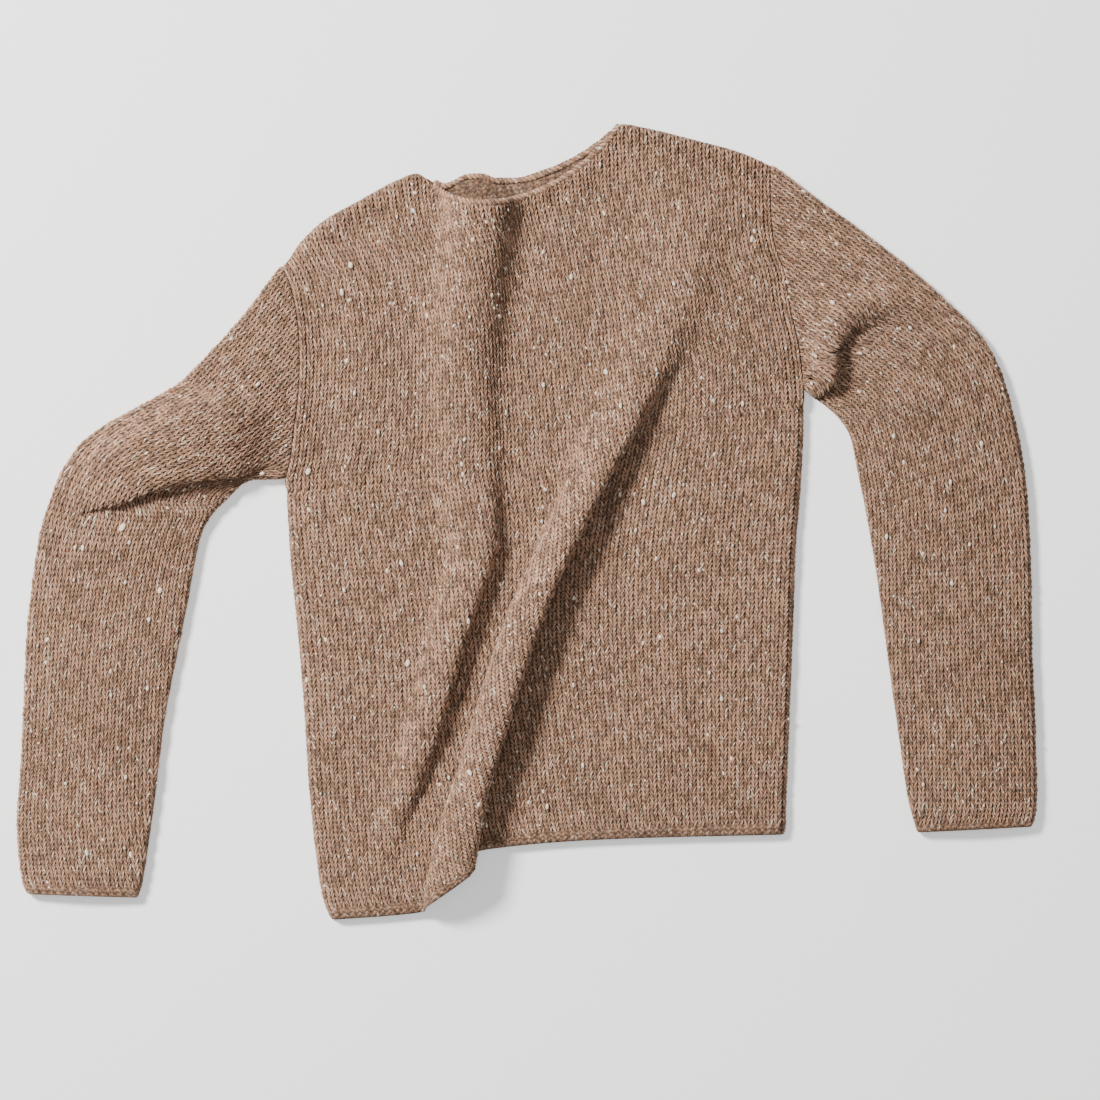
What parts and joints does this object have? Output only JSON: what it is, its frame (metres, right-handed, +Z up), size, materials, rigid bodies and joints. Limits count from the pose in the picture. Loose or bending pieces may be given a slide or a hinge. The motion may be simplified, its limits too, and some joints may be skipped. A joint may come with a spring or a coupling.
{
  "type": "boat neck sweater",
  "caption": "Long-sleeved boat neck pullover in bulky tweed stockinette knit, laid out flat with its front up, a soft pleat under the neck and a tall rolled fold down to the hem.",
  "frame": {"origin": "centre of the bounding box's bottom, on the surface that the sweater lies on", "axes": "+X to the right as seen from above with the neck away from the viewer, +Y from the hem to the neck, +Z up, away from the surface"},
  "size_m": [0.8556, 0.6671, 0.041],
  "materials": {
    "front_knit": "bulky brown tweed knit, matt",
    "back_knit": "bulky brown tweed knit, matt",
    "left_sleeve_knit": "bulky brown tweed knit, matt",
    "right_sleeve_knit": "bulky brown tweed knit, matt",
    "front_edging_knit": "bulky brown tweed knit, matt",
    "back_edging_knit": "bulky brown tweed knit, matt"
  },
  "bodies": {
    "root": {"front": "front_knit", "back": "back_knit", "sleeve_left": "left_sleeve_knit", "sleeve_right": "right_sleeve_knit", "neck_edge_front": "front_edging_knit", "neck_edge_back": "back_edging_knit"}
  },
  "joints": []
}
